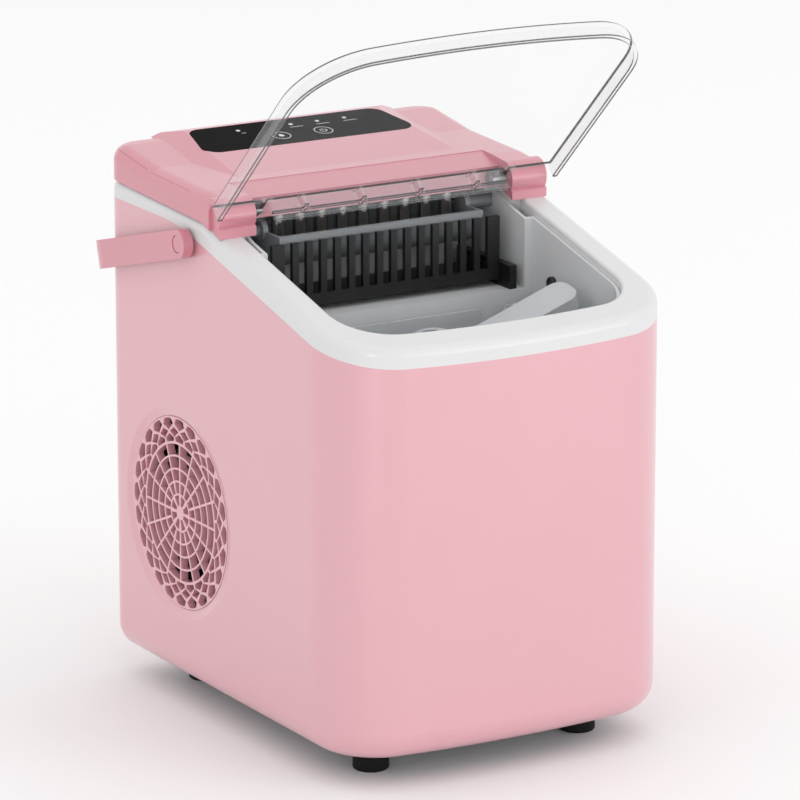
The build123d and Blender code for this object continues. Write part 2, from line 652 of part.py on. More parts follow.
def lid():
    """Clear lid: thin plate, deep skirt on three sides, hinge knuckles and a ribbed rear rail."""
    plate = extrude(Pos(0, 0, LID_RISE) * lid_face(), amount=-LID_DEPTH)
    plate = fillet(plate.edges().group_by(Axis.Z)[-1].sort_by(Axis.Y)[1:], 1.6)
    room = extrude(Pos(0, 0, LID_RISE - LID_T) * lid_face(LID_T), amount=-LID_DEPTH)
    room += box((-LID_HALF_W + LID_T, LID_HALF_W - LID_T), (LID_EDGE - 1, LID_EDGE + 4),
                (-LID_DEPTH - 5, LID_RISE - LID_T))
    body = plate - room
    for side in (-1, 1):
        x = sorted((side * KNUCKLE_X[0], side * KNUCKLE_X[1]))
        arm = box(x, (0, LID_EDGE + 6), (-KNUCKLE_R + 1.0, LID_RISE))
        arm += rod_x(KNUCKLE_R, x, 0, 0)
        arm -= rod_x(PIN_R + PIN_GAP, (x[0] - 1, x[1] + 1), 0, 0)
        body += arm
    rail = box((-KNUCKLE_X[0] - 1, KNUCKLE_X[0] + 1), (LID_EDGE, LID_EDGE + 2.2), (-15.0, LID_RISE - 1))
    body += rail
    for x in (-57, -19, 19, 57):
        body += box((x - 1, x + 1), (LID_EDGE - 3, LID_EDGE + 6), (-13.0, LID_RISE - 1))
    return lid_frame(LID_OPEN) * body


def hinge_pins():
    """Two steel pins between the cheeks and the lid's knuckles."""
    return Compound([rod_x(PIN_R, sorted((side * 77.2, side * 99.8)), HINGE_Y, HINGE_Z)
                     for side in (-1, 1)])


# ================================================================ handle
def carry_handle():
    """Pink bail: two flat arms joined by a cross bar behind the body."""
    out = HANDLE_OUT_X
    outer = make_face(Polyline((-out, -9), (out, -9), (out, HANDLE_REACH), (-out, HANDLE_REACH),
                               (-out, -9)))
    outer = fillet(outer.vertices().sort_by(Axis.Y)[-2:], HANDLE_CORNER_R)
    inn = out - HANDLE_T
    inner = make_face(Polyline((-inn, -12), (inn, -12), (inn, HANDLE_REACH - HANDLE_T),
                               (-inn, HANDLE_REACH - HANDLE_T), (-inn, -12)))
    inner = fillet(inner.vertices().sort_by(Axis.Y)[-2:], HANDLE_CORNER_R - HANDLE_T)
    bail = Pos(0, 0, -HANDLE_H / 2) * extrude(outer - inner, amount=HANDLE_H)
    front = bail.edges().filter_by(Axis.X).group_by(Axis.Y)[0]
    bail = fillet(front, HANDLE_H / 2 - 0.1)
    for side in (-1, 1):
        bail -= rod_x(HANDLE_PIN_R + PIN_GAP, sorted((side * 110, side * 122)), 0, 0)
        bail -= rod_x(5.2, sorted((side * (out - 2.4), side * 122)), 0, 0)
    return Pos(0, HANDLE_Y, HANDLE_Z) * Rot(-HANDLE_DROP, 0, 0) * bail


def handle_pivots():
    """Two shouldered pivot pins that fix the handle to the shell."""
    pins = []
    for side in (-1, 1):
        steps = ((HANDLE_PIN_R, HALF_W, HANDLE_OUT_X - 2.0),
                 (PIVOT_SHANK_R, 104.0, HALF_W),
                 (4.9, HANDLE_OUT_X - 2.0, HANDLE_OUT_X - 0.4),
                 (5.2, HALF_W, HALF_W + 1.6))
        pin = Part()
        for r, near, far in steps:
            pin += rod_x(r, sorted((side * near, side * far)), HANDLE_Y, HANDLE_Z)
        pins.append(pin)
    return Compound(pins)


def handle_nuts():
    """Two washered nuts on the pivot pins, inside the shell."""
    nuts = []
    for side in (-1, 1):
        nut = rod_x(4.0, sorted((side * 104.4, side * (HALF_W - WALL))), HANDLE_Y, HANDLE_Z)
        nuts.append(nut - rod_x(PIVOT_HOLE_R, sorted((side * 100, side * 112)), HANDLE_Y, HANDLE_Z))
    return Compound(nuts)


# ================================================================ side grille and fan
def ring_sector(r_in, r_out, mid, half_angle):
    """Curved slot between two radii, centred on an angle."""
    a, b = radians(mid - half_angle), radians(mid + half_angle)
    m = radians(mid)
    outer = ThreePointArc((r_out * cos(a), r_out * sin(a)), (r_out * cos(m), r_out * sin(m)),
                          (r_out * cos(b), r_out * sin(b)))
    inner = ThreePointArc((r_in * cos(b), r_in * sin(b)), (r_in * cos(m), r_in * sin(m)),
                          (r_in * cos(a), r_in * sin(a)))
    sides = [Line((r_out * cos(b), r_out * sin(b)), (r_in * cos(b), r_in * sin(b))),
             Line((r_in * cos(a), r_in * sin(a)), (r_out * cos(a), r_out * sin(a)))]
    return make_face([outer, sides[0], inner, sides[1]])


def curved_slots():
    """Slots between the grille's rings, parted by its spokes."""
    slots = []
    r_in = GRILLE_HUB_R
    for row, ring in enumerate(GRILLE_RING_R):
        count = GRILLE_SPOKES if row else GRILLE_SPOKES // 2
        web = degrees(GRILLE_RIB / 2 / r_in)
        for i in range(count):
            mid = (i + 0.5) * 360 / count
            slots.append(ring_sector(r_in, ring - GRILLE_RIB / 2, mid, 180 / count - web))
        r_in = ring + GRILLE_RIB / 2
    return slots


def outer_cells():
    """Three staggered rows of pointed cells between the last ring and the rim."""
    near = ((42.3, -4.6), (44.5, -5.0), (47.2, 0), (44.5, 5.0), (42.3, 4.6))
    middle = ((44.9, 0), (48.2, -5.2), (51.0, 0), (48.2, 5.2))
    far = ((49.2, 0), (52.6, -6.0), (55.4, -4.6), (56.2, -2.4), (56.2, 2.4), (55.4, 4.6), (52.6, 6.0))
    cells = []
    for row, corners in enumerate((near, middle, far)):
        cell = make_face(Polyline(*corners, corners[0]))
        for i in range(GRILLE_CELLS):
            cells.append(Rot(0, 0, (i + 0.5 * (row % 2)) * 360 / GRILLE_CELLS) * cell)
    return cells


def side_grille():
    """Pink round air grille in the left side, held by a flange behind the wall."""
    x_out = -HALF_W + GRILLE_SINK - 0.2
    to_side = Pos(x_out, GRILLE_Y, GRILLE_Z) * Rot(0, -90, 0)
    disc = extrude(Circle(GRILLE_R), amount=-GRILLE_DEPTH)
    flange = extrude(Circle(GRILLE_FLANGE_R), amount=-2.0)
    disc += Pos(0, 0, -(WALL - GRILLE_SINK + 0.25)) * flange
    holes = curved_slots() + outer_cells()
    cutters = Compound([extrude(Pos(0, 0, 1) * hole, amount=-(GRILLE_DEPTH + 2)) for hole in holes])
    return to_side * (disc - cutters)


def fan_shroud():
    """Black ring plate that guides air from the fan to the grille."""
    plate = box((FAN_X - 9, FAN_X + 9), (3.0, 111.0), (64.0, 174.0))
    plate = fillet(plate.edges().filter_by(Axis.X), 12.0)
    shroud = plate - rod_x(FAN_R + 2.5, (FAN_X - 12, FAN_X + 12), GRILLE_Y, GRILLE_Z)
    hollow = box((FAN_X - 9.5, FAN_X + 7), (5.0, 109.0), (66.0, 172.0))
    hollow -= rod_x(FAN_R + 4.5, (FAN_X - 12, FAN_X + 12), GRILLE_Y, GRILLE_Z)
    shroud -= hollow
    for a in (45, 135, 225, 315):
        y, z = GRILLE_Y + 62 * cos(radians(a)), GRILLE_Z + 62 * sin(radians(a))
        shroud -= rod_x(2.0, (FAN_X, FAN_X + 12), y, z)
    for a in (0, 90, 180, 270):
        arm = Pos(0, 0, (FAN_R + 15) / 2) * Box(3.0, 4.0, FAN_R - 9)
        shroud += Pos(FAN_X + 13.5, GRILLE_Y, GRILLE_Z) * Rot(a + 45, 0, 0) * arm
        post = Pos(0, 0, FAN_R + 3.5) * Box(8.0, 4.0, 3.0)
        shroud += Pos(FAN_X + 11.0, GRILLE_Y, GRILLE_Z) * Rot(a + 45, 0, 0) * post
    shroud += rod_x(17.0, (FAN_X + 12.0, FAN_X + 15.0), GRILLE_Y, GRILLE_Z)
    shroud -= rod_x(3.0, (FAN_X + 10.0, FAN_X + 16.0), GRILLE_Y, GRILLE_Z)
    return shroud


def fan_motor():
    """Fan motor behind the shroud, with its shaft towards the grille."""
    motor = rod_x(15.0, (FAN_X + 15.0, FAN_X + 29.0), GRILLE_Y, GRILLE_Z)
    motor += rod_x(2.0, (FAN_X - 4.0, FAN_X + 15.0), GRILLE_Y, GRILLE_Z)
    return motor


def fan_rotor():
    """Seven-bladed fan on its hub."""
    hub = rod_x(12.0, (FAN_X - 7.0, FAN_X + 7.0), GRILLE_Y, GRILLE_Z)
    blades = []
    for i in range(7):
        blade = Pos(0, 0, 28.5) * Rot(0, 0, 35) * Box(1.8, 20.0, 34.0)
        blades.append(Pos(FAN_X, GRILLE_Y, GRILLE_Z) * Rot(i * 360 / 7, 0, 0) * blade)
    rotor = hub + blades
    rotor &= rod_x(FAN_R, (FAN_X - 7.5, FAN_X + 7.5), GRILLE_Y, GRILLE_Z)
    return rotor - rod_x(2.0 + PIN_GAP, (FAN_X - 4.05, FAN_X + 10), GRILLE_Y, GRILLE_Z)


# ================================================================ refrigeration
def condenser_core():
    """Aluminium fin block; the grooves between its fins run from top to bottom."""
    core = box(CONDENSER_X, CONDENSER_Y, CONDENSER_Z)
    pitch = 5.0
    count = int((CONDENSER_Y[1] - CONDENSER_Y[0]) / pitch) - 1
    grooves = []
    for i in range(count):
        y = CONDENSER_Y[0] + pitch * (i + 1)
        grooves.append(box((CONDENSER_X[0] - 1, CONDENSER_X[0] + 9), (y - 1.6, y + 1.6),
                           (CONDENSER_Z[0] + 3, CONDENSER_Z[1] - 3)))
        grooves.append(box((CONDENSER_X[1] - 9, CONDENSER_X[1] + 1), (y - 1.6, y + 1.6),
                           (CONDENSER_Z[0] + 3, CONDENSER_Z[1] - 3)))
    return core - Compound(grooves)


def u_bend(r, radius, y, z, side, x):
    """Half-round return bend of a coil that stands out along Y from a flat face."""
    ring = Torus(radius, r) & (Pos(0, side * 50, 0) * Box(100, 100, 100))
    return Pos(x, y, z) * Rot(0, 90, 0) * ring


def condenser_bends():
    """Copper return bends at both ends of the condenser."""
    bends = []
    x = sum(CONDENSER_X) / 2
    for i in range(4):
        z = CONDENSER_Z[0] + 18 + i * 26
        bends.append(u_bend(3.0, 9.0, CONDENSER_Y[0], z, -1, x))
        bends.append(u_bend(3.0, 9.0, CONDENSER_Y[1], z, 1, x))
    return Compound(bends)


def condenser_stand():
    """Two steel angles that hold the condenser on the base."""
    stands = []
    for y in (CONDENSER_Y[0], CONDENSER_Y[1] - 8):
        foot = box((CONDENSER_X[0], CONDENSER_X[1]), (y, y + 8), (SHELL_Z + 5.2, SHELL_Z + 6.8))
        post_x = (CONDENSER_X[0] + 10, CONDENSER_X[0] + 16)
        post = box(post_x, (y, y + 8), (SHELL_Z + 6.8, CONDENSER_Z[0]))
        stands.append(foot + post)
    return Compound(stands)


def compressor_feet():
    """Plan positions of the compressor's three mounts."""
    x, y = COMPRESSOR_AT
    return [(x + MOUNT_R * cos(radians(a)), y + MOUNT_R * sin(radians(a))) for a in (30, 150, 270)]


def compressor():
    """Black hermetic compressor with a three-legged base."""
    x, y = COMPRESSOR_AT
    can = rod_z(COMPRESSOR_R, x, y, COMPRESSOR_Z)
    can = fillet(can.edges().group_by(Axis.Z)[-1], 22.0)
    can = fillet(can.edges().group_by(Axis.Z)[0], 10.0)
    can += rod_z(COMPRESSOR_R + 1.2, x, y, (102.0, 106.0))
    for fx, fy in compressor_feet():
        leg = rod_z(8.0, fx, fy, (COMPRESSOR_Z[0] + 1, COMPRESSOR_Z[0] + 4))
        a = degrees(atan2(fy - y, fx - x))
        leg += Pos(x, y, COMPRESSOR_Z[0] + 2.5) * Rot(0, 0, a) * Pos(32, 0, 0) * Box(28, 12, 3)
        can += leg
    for fx, fy in compressor_feet():
        can -= rod_z(3.6, fx, fy, (COMPRESSOR_Z[0] - 1, COMPRESSOR_Z[0] + 5))
    return can


def compressor_mounts():
    """Three rubber sleeves under and through the compressor's feet."""
    z = COMPRESSOR_Z[0] + 1
    mounts = []
    for x, y in compressor_feet():
        m = rod_z(7.0, x, y, (SHELL_Z + 7.2, z)) + rod_z(3.5, x, y, (z, z + 4.0))
        mounts.append(m - rod_z(2.05, x, y, (SHELL_Z, z + 8)))
    return Compound(mounts)


def compressor_bolts():
    """Three bolts with washers through the rubber sleeves."""
    part = screw(4.5, 3.0, 1.95, COMPRESSOR_Z[0] + 5 - SHELL_Z)
    return Compound([Pos(x, y, COMPRESSOR_Z[0] + 5.0) * part for x, y in compressor_feet()])


def terminal_cover():
    """Plastic cover over the compressor's terminals."""
    x, y = COMPRESSOR_AT
    cap = box((x - 58, x - 30), (y + 4, y + 30), (84, 118))
    cap = fillet(cap.edges().filter_by(Axis.X), 4.0)
    return cap - rod_z(COMPRESSOR_R + 1.5, x, y, (20, 200))


def pipe(points, radii, r):
    """Tube along straight runs joined by arcs."""
    path = FilletPolyline(*points, radius=radii)
    start = Vector(*points[0])
    direction = Vector(*points[1]) - start
    return sweep(Plane(origin=start, z_dir=direction) * Circle(r), path=path)


def discharge_pipe():
    """Copper pipe from the compressor's dome to the condenser."""
    x, y = COMPRESSOR_AT
    inlet_z = CONDENSER_Z[1] - 6.0
    points = [(x, y, COMPRESSOR_Z[1]), (x, y, 196.0), (-10.0, y, 196.0), (-10.0, y, inlet_z),
              (CONDENSER_X[1], y, inlet_z)]
    return pipe(points, 8.0, PIPE_R)


def filter_drier():
    """Copper filter drier standing behind the condenser's outlet."""
    x, y = DRIER_AT
    body = rod_z(9.0, x, y, (86.0, 150.0))
    body = fillet(body.edges(), 6.0)
    return body + rod_z(PIPE_R, x, y, (70.0, DRIER_TOP_Z))


def liquid_pipe():
    """Thin copper pipe from the drier up to the evaporator's left end."""
    x, y = DRIER_AT
    points = [(x, y, DRIER_TOP_Z), (x, y, 284.0), (-PIPE_X, y, 284.0), (-PIPE_X, y, PIPE_Z),
              (-PIPE_X, TRAY_Y + 16.0, PIPE_Z), (-PIPE_X, TRAY_Y, HEADER_Z), (-HEADER_X, TRAY_Y, HEADER_Z)]
    return pipe(points, 5.0, LIQUID_PIPE_R)


def suction_pipe():
    """Copper pipe from the evaporator's right end back to the compressor's shoulder."""
    points = [(HEADER_X, TRAY_Y, HEADER_Z), (PIPE_X, TRAY_Y, HEADER_Z), (PIPE_X, TRAY_Y + 16.0, PIPE_Z),
              (PIPE_X, 92.0, PIPE_Z), (PIPE_X, 92.0, 155.4)]
    return pipe(points, 5.0, PIPE_R)


def hot_gas_valve():
    """Solenoid valve that sends hot gas round the condenser."""
    coil = box((6.0, 30.0), (112.0, 134.0), (206.0, 232.0))
    coil = fillet(coil.edges().filter_by(Axis.Z), 4.0)
    return coil + rod_z(5.0, 18.0, 123.0, (190.0, 240.0))


# ================================================================ ice making
def evaporator():
    """Nickel-plated header tube with its freezing fingers."""
    body = rod_x(HEADER_R, (-HEADER_X, HEADER_X), TRAY_Y, HEADER_Z)
    for i in range(FINGER_COUNT):
        x = (i - (FINGER_COUNT - 1) / 2) * FINGER_PITCH
        finger = rod_z(FINGER_R, x, TRAY_Y, (FINGER_TIP_Z, HEADER_Z))
        finger = fillet(finger.edges().group_by(Axis.Z)[0], FINGER_R - 0.3)
        body += finger
    return body


def evaporator_bracket():
    """Black bridge that hangs the header tube from the frame's rear bay wall."""
    rear = (ICE_BAY_REAR_Y - 3.0, ICE_BAY_REAR_Y)
    top = (HEADER_Z + 6.6, HEADER_Z + 9.2)
    bridge = box((-BRACKET_X, BRACKET_X), rear, (296.0, top[1]))
    bridge += box((-BRACKET_X, BRACKET_X), (TRAY_Y - 3.0, rear[1]), top)
    for x in (-63.0, -21.0, 21.0, 63.0):
        hook = box((x - 2.5, x + 2.5), (TRAY_Y - 2.5, TRAY_Y + 2.5), (HEADER_Z, top[1]))
        bridge += hook
    return bridge - rod_x(HEADER_R + 0.02, (-90, 90), TRAY_Y, HEADER_Z)


def water_tray():
    """Half-round tilting tray with end discs and pivot stubs."""
    x = (-TRAY_X, TRAY_X)
    tray = rod_x(TRAY_R, x, TRAY_Y, TRAY_Z) & box((-90, 90), (0, 70), (250, TRAY_Z))
    inner = rod_x(TRAY_R - TRAY_WALL, (x[0] + 1.8, x[1] - 1.8), TRAY_Y, TRAY_Z)
    tray -= inner
    lip = box(x, (TRAY_Y - TRAY_R - 1.4, TRAY_Y - TRAY_R + 0.8), (TRAY_Z - 4.0, TRAY_Z))
    tray += lip
    for side in (-1, 1):
        tray += rod_x(STUB_R, sorted((side * (TRAY_X - 1.8), side * STUB_END_X)), TRAY_Y, TRAY_Z)
        tray += rod_x(7.0, sorted((side * (TRAY_X - 1.8), side * (TRAY_X + 1.5))), TRAY_Y, TRAY_Z)
    return tray


def tray_motor():
    """Slow motor beside the bin that tilts the tray."""
    motor = rod_x(15.0, (92.2, 104.0), TRAY_Y, TRAY_Z - 9.0)
    motor += box((90.7, 92.2), (TRAY_Y - 10, TRAY_Y + 10), (TRAY_Z - 20, TRAY_Z + 5))
    return motor + rod_x(STUB_R - 0.1, (STUB_END_X + 0.1, 91.0), TRAY_Y, TRAY_Z)


def ice_shovel():
    """Black comb that slides forward and pushes the ice into the basket."""
    plate = box((-SHOVEL_X, SHOVEL_X), SHOVEL_Y, SHOVEL_Z)
    count = 15
    pitch = 2 * (SHOVEL_X - 6) / count
    slots = []
    for i in range(count):
        x = -SHOVEL_X + 6 + pitch * (i + 0.5)
        slots.append(box((x - pitch * 0.28, x + pitch * 0.28), (0, 20), (SHOVEL_Z[0] + 7, SHOVEL_Z[1] + 1)))
    plate -= Compound(slots)
    plate += box((-SHOVEL_X, SHOVEL_X), (SHOVEL_Y[0], 46.0), (SHOVEL_Z[0], SHOVEL_Z[0] + 2.4))
    for side in (-1, 1):
        plate += box(sorted((side * (SHOVEL_X - 4), side * SHOVEL_X)), (SHOVEL_Y[0], 46.0),
                     (SHOVEL_Z[0], SHOVEL_Z[0] + 8))
    return plate


def shovel_rails():
    """Two guide rails on the shelf, outside the shovel."""
    rails = []
    for side in (-1, 1):
        rail = box(sorted((side * (SHOVEL_X + 0.4), side * (SHOVEL_X + 5))), (-6.0, 54.0),
                   (SHELF_Z + BIN_WALL, SHOVEL_Z[0] + 10))
        rails.append(rail)
    return Compound(rails)


def ice_sensors():
    """Two small lens pods that face each other across the bin."""
    pods = []
    for side in (-1, 1):
        pod = rod_x(4.0, sorted((side * 88.2, side * (BIN_X - BIN_WALL))), -30.0, 250.0)
        pods.append(fillet(pod.edges().group_by(Axis.X)[0 if side > 0 else -1], 1.5))
    return Compound(pods)


def level_sensor():
    """Float switch low in the tank."""
    stem = rod_z(2.5, -70.0, -24.0, (BIN_FLOOR_Z + BIN_WALL, 96.0))
    return stem + rod_z(7.0, -70.0, -24.0, (76.0, 88.0))


def water_pump():
    """Small pump on the tank's rear wall, inside the machine bay."""
    pump = rod_y(14.0, 20.0, (-4.7, 12.0), 78.0)
    pump += rod_y(11.0, 20.0, (12.0, 34.0), 78.0)
    return pump + rod_z(3.2, 20.0, 2.0, (88.0, 100.0))


def water_hose():
    """Silicone hose from the pump, up behind the bay wall and over it to the tray."""
    x = 48.0
    points = [(20.0, 2.0, 100.0), (20.0, 2.0, 126.0), (x, 14.0, 150.0), (x, 14.0, 200.0),
              (x, HOSE_Y, 226.0), (x, HOSE_Y, 303.0)]
    return pipe(points, 9.0, PIPE_R)


def drain_spout():
    """Threaded outlet from the tank through the shell's right side."""
    spout = rod_x(DRAIN_R, (BIN_X + 0.1, HALF_W - 0.6), DRAIN_Y, DRAIN_Z)
    spout += rod_x(DRAIN_BORE_R - 0.1, (BIN_X - BIN_WALL, BIN_X + 0.2), DRAIN_Y, DRAIN_Z)
    spout -= rod_x(6.5, (101.0, 112.0), DRAIN_Y, DRAIN_Z)
    return spout - rod_x(3.4, (85.0, 112.0), DRAIN_Y, DRAIN_Z)


def drain_plug():
    """Rubber drain plug with a pull tab."""
    plug = rod_x(6.4, (102.6, HALF_W - 0.4), DRAIN_Y, DRAIN_Z)
    plug += rod_x(9.5, (HALF_W - 0.4, HALF_W + 1.6), DRAIN_Y, DRAIN_Z)
    plug += box((HALF_W + 1.6, HALF_W + 7.0), (DRAIN_Y - 1.5, DRAIN_Y + 1.5), (DRAIN_Z - 6, DRAIN_Z + 6))
    return plug


def drain_seal():
    """Seal at the bottom of the spout's socket."""
    ring = rod_x(6.4, (101.05, 102.3), DRAIN_Y, DRAIN_Z)
    return ring - rod_x(3.5, (100, 103), DRAIN_Y, DRAIN_Z)


def cord_gland():
    """Black gland where the mains lead would leave the rear wall."""
    body = rod_y(GLAND_R, GLAND_X, (REAR_Y - WALL - 3, REAR_Y), GLAND_Z)
    body += rod_y(GLAND_R + 3, GLAND_X, (REAR_Y, REAR_Y + 2.0), GLAND_Z)
    body += rod_y(GLAND_R - 3.5, GLAND_X, (REAR_Y + 2.0, REAR_Y + 8.0), GLAND_Z)
    return body - rod_y(LEAD_R, GLAND_X, (REAR_Y - 10, REAR_Y + 9), GLAND_Z)


def power_board():
    """Power circuit board, high in the machine bay."""
    board = box(BOARD_X, BOARD_Y, BOARD_Z)
    board += box((-66.0, -44.0), (118.0, BOARD_Y[0]), (192.0, 212.0))
    board += box((-40.0, -30.0), (122.0, BOARD_Y[0]), (216.0, 232.0))
    board += box((-66.0, -52.0), (123.0, BOARD_Y[0]), (222.0, 240.0))
    return board + rod_y(5.0, -36.0, (120.0, BOARD_Y[0]), 196.0)


def board_posts():
    """Four posts that hold the power board on the rear panel."""
    places = [(x, z) for x in (-62.0, -32.0) for z in (180.0, 246.0)]
    return Compound([rod_y(2.5, x, (BOARD_Y[1], REAR_Y - WALL), z) for x, z in places])


NODES = [shell_front, shell_left, shell_right, shell_rear, rear_panel, rear_frame, rear_panel_screws,
         base_pan, feet, foot_screws, top_frame, bin_liner, bin_insulation, ice_basket, ice_scoop,
         top_cover, touch_panel, control_board, touch_springs, lid, hinge_pins, carry_handle,
         handle_pivots, handle_nuts, side_grille, fan_shroud, fan_motor, fan_rotor, condenser_core,
         condenser_bends, condenser_stand, compressor, compressor_mounts, compressor_bolts,
         terminal_cover, discharge_pipe, filter_drier, liquid_pipe, suction_pipe, hot_gas_valve,
         evaporator, evaporator_bracket, water_tray, tray_motor, ice_shovel, shovel_rails, ice_sensors,
         level_sensor, water_pump, water_hose, drain_spout, drain_plug, drain_seal, cord_gland,
         power_board, board_posts]

for build in NODES:
    export_step(build(), f"parts/{build.__name__}.step")
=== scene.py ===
import json
import logging
import math
from dataclasses import dataclass
from enum import Enum

import bpy
import numpy as np
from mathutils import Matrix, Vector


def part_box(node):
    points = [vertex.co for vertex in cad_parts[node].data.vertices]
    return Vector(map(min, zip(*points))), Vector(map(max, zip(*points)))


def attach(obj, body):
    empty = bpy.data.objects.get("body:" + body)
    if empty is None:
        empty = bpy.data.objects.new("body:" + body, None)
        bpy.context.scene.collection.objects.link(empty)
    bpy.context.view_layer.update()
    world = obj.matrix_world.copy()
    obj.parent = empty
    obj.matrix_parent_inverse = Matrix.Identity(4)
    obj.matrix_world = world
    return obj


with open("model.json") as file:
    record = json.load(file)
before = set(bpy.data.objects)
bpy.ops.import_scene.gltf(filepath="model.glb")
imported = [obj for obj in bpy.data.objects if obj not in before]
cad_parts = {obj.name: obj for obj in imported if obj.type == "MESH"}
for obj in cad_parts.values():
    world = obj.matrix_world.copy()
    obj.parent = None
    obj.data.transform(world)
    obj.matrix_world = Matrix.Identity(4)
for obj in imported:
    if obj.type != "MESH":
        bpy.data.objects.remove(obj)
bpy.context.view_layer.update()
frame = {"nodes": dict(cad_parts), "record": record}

LOG = logging.getLogger("ice_maker")
MM = 0.001


# ------------------------------------------------------------------ helpers
def linear(hex_code: str, alpha: float = 1.0) -> tuple[float, float, float, float]:
    """Turns an sRGB hex colour into linear light.

    Args:
        hex_code: six hex digits, with or without a leading hash.
        alpha: the fourth value.

    Returns:
        Red, green, blue and alpha, where a channel c is c/12.92 in the dark
        toe and ((c + 0.055) / 1.055) to the power 2.4 above it.
    """
    digits = hex_code.lstrip("#")
    srgb = np.array([int(digits[i:i + 2], 16) for i in (0, 2, 4)]) / 255.0
    low = srgb / 12.92
    high = ((srgb + 0.055) / 1.055) ** 2.4
    red, green, blue = np.where(srgb <= 0.04045, low, high)
    return float(red), float(green), float(blue), alpha


def add_node(tree: bpy.types.NodeTree, kind: str, settings: dict | None = None,
             links: dict | None = None) -> bpy.types.Node:
    """Adds one shader node.

    Args:
        tree: the material's node tree.
        kind: the node's type name.
        settings: socket names or indices, or property names, with their values.
        links: input socket names or indices with the output sockets that feed them.

    Returns:
        The new node.
    """
    node = tree.nodes.new(kind)
    for key, value in (settings or {}).items():
        if isinstance(key, int) or key in node.inputs:
            node.inputs[key].default_value = value
        else:
            setattr(node, key, value)
    for key, socket in (links or {}).items():
        tree.links.new(socket, node.inputs[key])
    return node


def closed_grid(rows: int, columns: int, wrap_rows: bool, wrap_columns: bool) -> np.ndarray:
    """Quads of a grid of points, as one array.

    Args:
        rows: number of points along the first parameter.
        columns: number of points along the second parameter.
        wrap_rows: True joins the last row to the first.
        wrap_columns: True joins the last column to the first.

    Returns:
        An array of four point indices per face, wound so that the cross product
        of the first and the second parameter's directions points outwards.
    """
    row = np.arange(rows if wrap_rows else rows - 1)
    column = np.arange(columns if wrap_columns else columns - 1)
    r, c = np.meshgrid(row, column, indexing="ij")
    r_next, c_next = (r + 1) % rows, (c + 1) % columns
    corners = [r * columns + c, r_next * columns + c, r_next * columns + c_next, r * columns + c_next]
    return np.stack([k.ravel() for k in corners], axis=1)


def make_piece(name: str, points: np.ndarray, faces: np.ndarray | list, finish: "Finish",
               body: str, smooth: bool = True) -> bpy.types.Object:
    """Puts computed points and faces into a mesh piece that rides on a body.

    Args:
        name: the piece's name.
        points: an N by 3 array in metres, in the row frame.
        faces: point indices, one row per face.
        finish: the material recipe.
        body: the CAD body that the piece moves with.
        smooth: True for smooth shading.

    Returns:
        The new object, which sits at the origin.
    """
    mesh = bpy.data.meshes.new(name)
    mesh.from_pydata(np.asarray(points, float).tolist(), [], [list(map(int, f)) for f in faces])
    mesh.validate()
    mesh.polygons.foreach_set("use_smooth", np.full(len(mesh.polygons), smooth))
    mesh.update()
    piece = bpy.data.objects.new(name, mesh)
    bpy.context.scene.collection.objects.link(piece)
    piece.data.materials.append(finish.material())
    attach(piece, body)
    LOG.info("piece %s: %d faces on %s", name, len(mesh.polygons), body)
    return piece


# ------------------------------------------------------------------ finishes
class Relief(Enum):
    """Fine surface relief, as the stretch of its grain along X, Y and Z."""

    MOULDED = (1.0, 1.0, 1.0)
    BRUSHED = (0.06, 1.0, 1.0)


MADE: dict[str, bpy.types.Material] = {}


